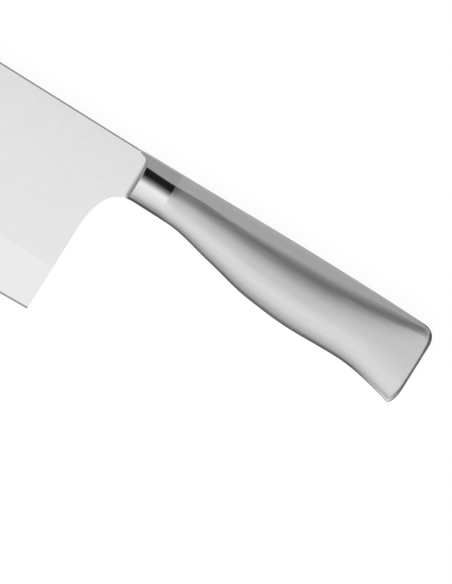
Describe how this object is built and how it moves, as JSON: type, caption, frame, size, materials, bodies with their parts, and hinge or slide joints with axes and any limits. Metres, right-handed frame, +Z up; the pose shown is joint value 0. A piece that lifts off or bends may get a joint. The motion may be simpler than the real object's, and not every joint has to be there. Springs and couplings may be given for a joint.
{
  "type": "chinese cleaver",
  "caption": "Broad rectangular kitchen cleaver with a ground edge, a polished bolster and a hollow all-steel grip that flares at the butt, lying on its side.",
  "frame": {"origin": "the middle of the footprint of the knife lying on its side, on the surface it lies on", "axes": "+X from the blade's front edge towards the butt, +Y from the cutting edge towards the spine, +Z up through the knife's thickness"},
  "size_m": [0.28, 0.0788, 0.0188],
  "materials": {
    "blade_steel": "fine satin",
    "bolster_steel": "mirror polished",
    "grip_steel": "brushed along the grip",
    "potting": "cast resin",
    "weight_iron": "raw"
  },
  "bodies": {
    "root": {"blade": "blade_steel", "bolster": "bolster_steel", "shell_left": "grip_steel", "shell_right": "grip_steel", "butt_cap": "grip_steel", "grip_filling": "potting", "balance_weight": "weight_iron"}
  },
  "joints": []
}
